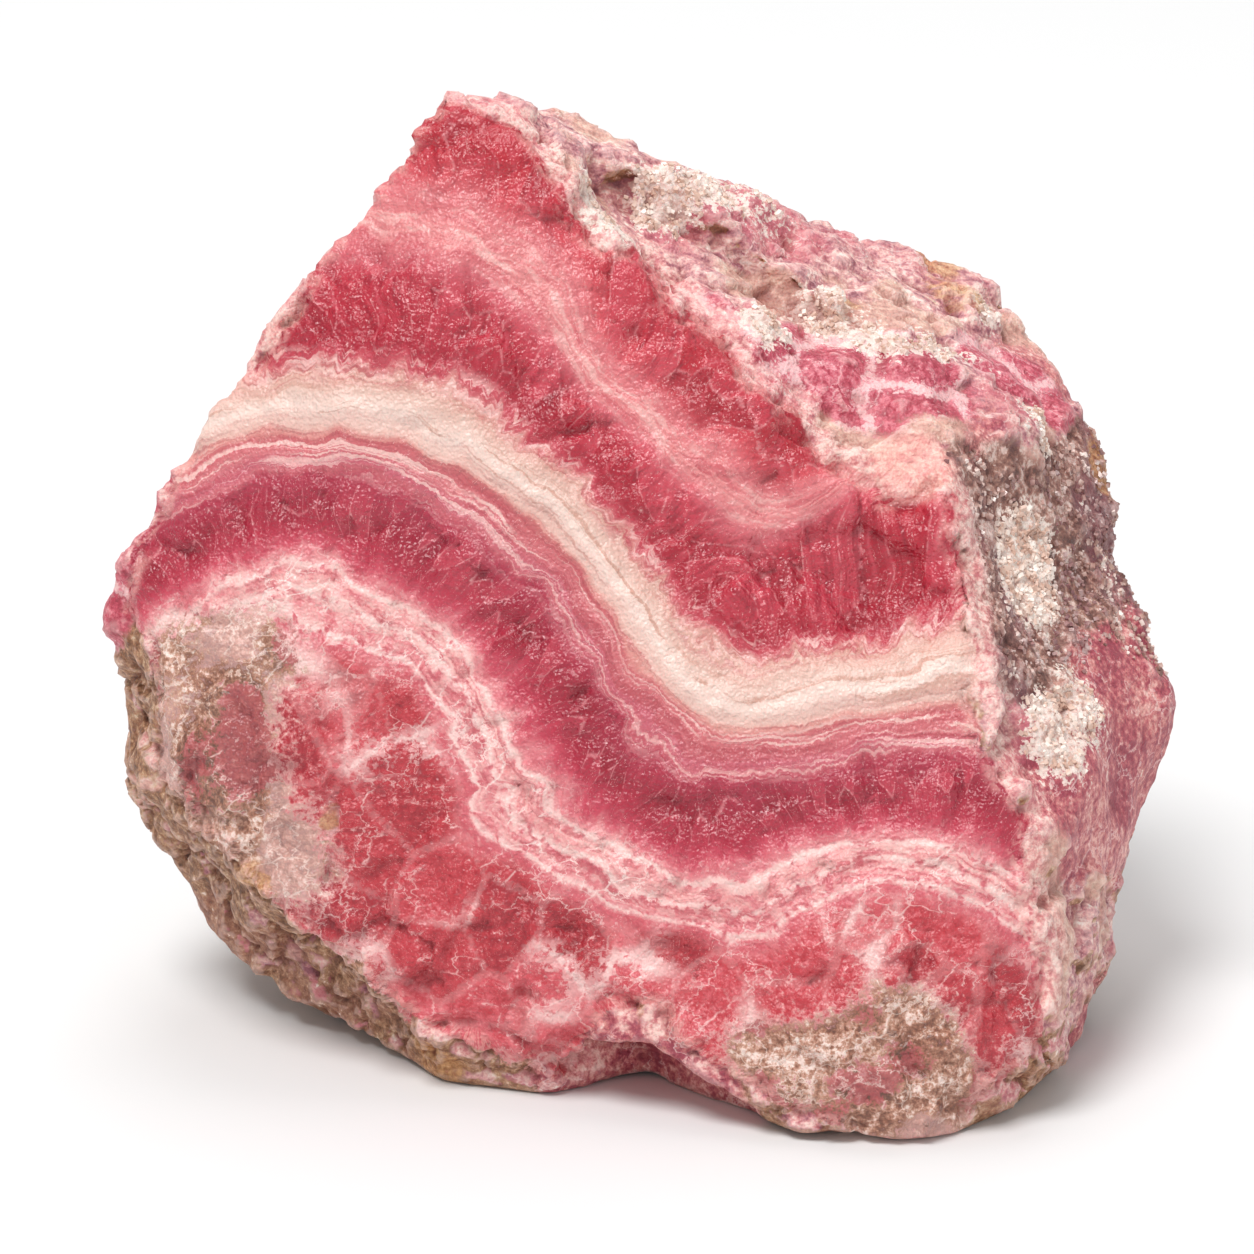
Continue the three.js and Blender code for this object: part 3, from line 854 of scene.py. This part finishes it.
def stone_material(settings):
    """Broken rhodochrosite: layers on the broken faces, crusts and matrix elsewhere."""
    material, board, place = new_finish("rhodochrosite")
    level, along, depth = kept_vector(board, "layers")
    face, heart, peach = kept_vector(board, "face")
    hollow, pit, _ = kept_vector(board, "hollow")
    coarse, middling, third = kept_vector(board, "mottle")
    stains = kept_vector(board, "stains")
    grit = board.noise(place, 1.2, 3.0, 0.7)
    silky = board.noise(board.vector_maths("MULTIPLY", place, (0.35, 1.3, 1.3)), 0.6, 2.0, 0.7)
    mottle = (coarse, middling, third)
    wander = board.vector_maths("SCALE", board.vector(silky, grit, silky), scale=2.8)
    flake = board.edge_distance(board.vector_maths("ADD", place, wander), 0.34)
    rims = board.step(flake, 0.055, 0.0) * board.step(middling * 0.5 + silky + grit, 0.85, 1.15)
    blocks = kept_vector(board, "blocks")
    layers, crystal, wisp = layer_colours(
        board, settings, level, along, depth, grit, silky, mottle, blocks, flake, rims)
    crust = kept_vector(board, "crust")
    sides = side_colours(board, settings, face, crust, stains, mottle, blocks, grit, silky, rims)

    # the granular hearts of the layers, and the peach wedge under the ridge
    heart_shade = grit * 0.8 + silky * 0.2 + (middling + coarse) * 0.06
    heart_colour = board.ramp(heart_shade, [
        (0.37, "#744B3A"), (0.45, "#976C55"), (0.51, "#B48870"),
        (0.57, "#D0AA97"), (0.65, "#F4E3DA")])
    pocket = board.step(third - middling * 0.5 + (grit - 0.5) * 1.6, 0.25, 0.4)
    heart_colour = board.blend(heart_colour, "#B95361", pocket * 0.7)
    pearly = board.step(third + coarse + (grit - 0.5) * 1.6, -0.3, -0.45)
    heart_colour = board.blend(heart_colour, "#EDC9C5", pearly * 0.5)
    heart_colour = board.blend(heart_colour, "#FAEAE2", rims * 0.6)
    frayed_heart = heart + (grit - 0.5) * 1.7
    layers = board.blend(layers, "#EFD0CA", board.step(frayed_heart, 0.15, 0.55) * 0.6)
    layers = board.blend(layers, heart_colour, board.step(frayed_heart, 0.4, 0.7) * 0.9)

    frayed = face + (grit - 0.5) * 1.6
    front = board.step(frayed, -0.2, 0.2)
    colour = board.blend(sides, layers, front)
    silk = board.ramp(grit * 0.7 + silky * 0.3, [
        (0.4, "#E5A29E"), (0.5, "#EDB8AF"), (0.6, "#F7D1C6")])
    colour = board.blend(colour, silk, board.step(peach, 0.3, 0.6) * 0.85)
    ochre = board.ramp(grit, [(0.35, "#A86F38"), (0.6, "#DDB07C")])
    colour = board.blend(colour, ochre, board.step(stains[1] + (silky - 0.5) * 0.8, 0.45, 0.75) * 0.65)
    rim = board.bell(frayed, 0.5, 1.2) * board.step(wisp, 0.4, 0.55)
    colour = board.blend(colour, "#F2C8C0", rim * 0.5)

    # painted shade: hollows are darkened by multiplying a deep red-brown into the colour, and edges that
    # stand out are made paler
    hollow_shade_painted = board.step(hollow, 0.05, 0.55) * (0.5 - 0.38 * front)
    colour = board.blend(colour, "#A8524C", hollow_shade_painted, "MULTIPLY")
    colour = board.blend(colour, "#FBE3DD", board.step(pit, -0.05, -0.2) * (1.0 - front) * 0.3)
    colour = board.add("ShaderNodeGamma", None, {"Color": colour, "Gamma": 1.28})

    gloss = 0.22 + 0.36 * grit + 0.16 * (1.0 - front) - 0.08 * crystal
    tooth = board.noise(place, 1.9, 1.0, 0.7)
    bump = board.add("ShaderNodeBump", None, {"Strength": 0.85, "Distance": 0.36 * MM, "Height": tooth})
    show(board, board.add("ShaderNodeBsdfPrincipled", {"subsurface_method": "RANDOM_WALK"}, {
        "Base Color": colour, "Roughness": gloss, "Normal": bump, "IOR": 1.6,
        "Subsurface Weight": 0.18, "Subsurface Radius": (1.0, 0.32, 0.28),
        "Subsurface Scale": 1.5 * MM, "Specular IOR Level": 0.42}))
    return material


def grain_material():
    """Small clear to milky crystals."""
    material, board, place = new_finish("sugary crystals")
    cloudy = board.noise(place, 0.5, 2.0)
    colour = board.ramp(cloudy, [
        (0.36, "#7A5650"), (0.45, "#A27A70"), (0.53, "#C6A196"),
        (0.64, "#EEDCD4")])
    mauve = board.step(board.noise(place, 0.13, 1.0), 0.45, 0.6)
    colour = board.blend(colour, "#8E6068", mauve * 0.55)
    milky = board.ramp(cloudy, [(0.4, "#D6B4A3"), (0.5, "#EBD2C4"), (0.6, "#FBEFE6")])
    white, _, _ = kept_vector(board, "stains")
    colour = board.blend(colour, milky, board.step(white, 0.25, 0.5))
    show(board, board.add("ShaderNodeBsdfPrincipled", None, {
        "Base Color": colour, "Roughness": 0.25, "IOR": 1.6, "Specular IOR Level": 0.4}))
    return material


# ---- the operators: the stone, its grains and the stage ----

class RhodoMakeStone(bpy.types.Operator):
    """Makes the stone's fine broken surface on the frame's solid"""
    bl_idname = "rhodo.make_stone"
    bl_label = "Stone"

    def execute(self, context):
        settings = context.scene.rhodo_stone
        stone = fine_body(STONE, settings.mesh_step)
        store_regions(stone.data)
        run_tree(stone, surface_tree(), {
            "Lumps": settings.lump_height / MM, "Grains": settings.grain_height / MM})
        level_foot(stone.data)
        store_regions(stone.data)
        run_tree(stone, detail_tree())
        stone.data.materials.clear()
        stone.data.materials.append(stone_material(settings))
        stone.data.shade_smooth()
        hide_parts(NODE)
        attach(stone, "root")
        return {"FINISHED"}


class RhodoMakeGrains(bpy.types.Operator):
    """Scatters the small crystals on the finished stone"""
    bl_idname = "rhodo.make_grains"
    bl_label = "Small crystals"

    def execute(self, context):
        settings = context.scene.rhodo_grains
        grown = link_object(GRAINS, bpy.data.objects[STONE].data.copy())
        run_tree(grown, grain_tree(grain_material()), {
            "Density": settings.density, "Size": settings.grain_size, "Seed": settings.seed})
        if not 0 < triangle_count(grown.data) < MOST_TRIANGLES:
            raise RuntimeError("the small crystals are too many, or there are none")
        for name in KEPT_NAMES:
            if name != "stains":
                grown.data.attributes.remove(grown.data.attributes[name])
        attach(grown, "root")
        return {"FINISHED"}


class RhodoMakeStage(bpy.types.Operator):
    """Makes the pale table, the soft lights and the camera"""
    bl_idname = "rhodo.make_stage"
    bl_label = "Stage"

    def execute(self, context):
        settings = context.scene.rhodo_stage
        make_floor()
        for name, place, size, power in LAMPS:
            make_lamp(name, place, size, power)
        make_sky()
        make_camera(settings)
        context.scene.view_settings.view_transform = "Standard"
        return {"FINISHED"}


# name, place, size and power of each soft light, in metres and watts
LAMPS = (
    ("key softbox", (-0.65, -0.85, 2.3), 1.1, 47.0),
    ("fill softbox", (1.6, -1.5, 0.9), 1.5, 6.0),
    ("top softbox", (0.1, 1.1, 2.2), 1.6, 18.0),
)
LAMPS_AIM = (0, 0, 0.04)
WHITE = (1, 1, 1, 1)
SKY_GLOW = 0.46
BACKDROP_GLOW = 0.96
TABLE_HALF = 3.0


def make_floor():
    mesh = bpy.data.meshes.new("table")
    corners = [(TABLE_HALF * x, TABLE_HALF * y, 0) for x, y in ((-1, -1), (1, -1), (1, 1), (-1, 1))]
    mesh.from_pydata(corners, [], [(0, 1, 2, 3)])
    table = link_object("table", mesh)
    material = bpy.data.materials.new("pale table")
    material.use_nodes = True
    shader = material.node_tree.nodes["Principled BSDF"]
    shader.inputs["Base Color"].default_value = paint("#E6E6E6")
    shader.inputs["Roughness"].default_value = 0.85
    shader.inputs["Specular IOR Level"].default_value = 0.15
    mesh.materials.append(material)


def make_lamp(name, place, size, power):
    lamp = bpy.data.lights.new(name, "AREA")
    lamp.shape = "DISK"
    lamp.size = size
    lamp.energy = power
    made = link_object(name, lamp)
    made.location = place
    aim = Vector(LAMPS_AIM) - Vector(place)
    made.rotation_euler = aim.to_track_quat("-Z", "Y").to_euler()


def make_sky():
    """A soft even light from all round, seen as a pale backdrop."""
    world = bpy.data.worlds.new("studio")
    world.use_nodes = True
    world.node_tree.nodes.clear()
    board = Board(world.node_tree)
    glow, backdrop = (
        board.add("ShaderNodeBackground", None, {"Color": WHITE, "Strength": strength})
        for strength in (SKY_GLOW, BACKDROP_GLOW))
    seen = board.add("ShaderNodeLightPath", out="Is Camera Ray")
    show(board, board.add("ShaderNodeMixShader", None, {0: seen, 1: glow, 2: backdrop}),
         "ShaderNodeOutputWorld")
    bpy.context.scene.world = world


def make_camera(settings):
    look = bpy.data.cameras.new("camera")
    look.lens = settings.lens
    look.clip_start = 0.01
    camera = link_object("camera", look)
    middle = Vector(FACE_MIDDLE) * MM
    ahead = Vector((0, math.cos(FACE_LEAN), -math.sin(FACE_LEAN)))
    camera.location = middle - ahead * settings.distance
    camera.rotation_euler = ahead.to_track_quat("-Z", "Y").to_euler()
    bpy.context.scene.camera = camera


class RhodoPanel(bpy.types.Panel):
    """Lists the specimen's pieces"""
    bl_idname = "VIEW3D_PT_rhodochrosite"
    bl_label = "Rhodochrosite"
    bl_space_type = "VIEW_3D"
    bl_region_type = "UI"
    bl_category = "Rhodochrosite"

    def draw(self, context):
        for maker, settings in ((RhodoMakeStone, "rhodo_stone"), (RhodoMakeGrains, "rhodo_grains"),
                                (RhodoMakeStage, "rhodo_stage")):
            self.layout.operator(maker.bl_idname)
            for name in getattr(context.scene, settings).__annotations__:
                self.layout.prop(getattr(context.scene, settings), name)


CLASSES = (RhodoStoneSettings, RhodoGrainSettings, RhodoStageSettings, RhodoMakeStone,
           RhodoMakeGrains, RhodoMakeStage, RhodoPanel)


def register():
    for made in CLASSES:
        bpy.utils.register_class(made)
    bpy.types.Scene.rhodo_stone = PointerProperty(type=RhodoStoneSettings)
    bpy.types.Scene.rhodo_grains = PointerProperty(type=RhodoGrainSettings)
    bpy.types.Scene.rhodo_stage = PointerProperty(type=RhodoStageSettings)


def unregister():
    del bpy.types.Scene.rhodo_stage
    del bpy.types.Scene.rhodo_grains
    del bpy.types.Scene.rhodo_stone
    for made in reversed(CLASSES):
        bpy.utils.unregister_class(made)


def main():
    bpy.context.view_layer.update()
    register()
    bpy.ops.rhodo.make_stone()
    bpy.ops.rhodo.make_grains()
    bpy.ops.rhodo.make_stage()


if __name__ == "__main__":
    main()
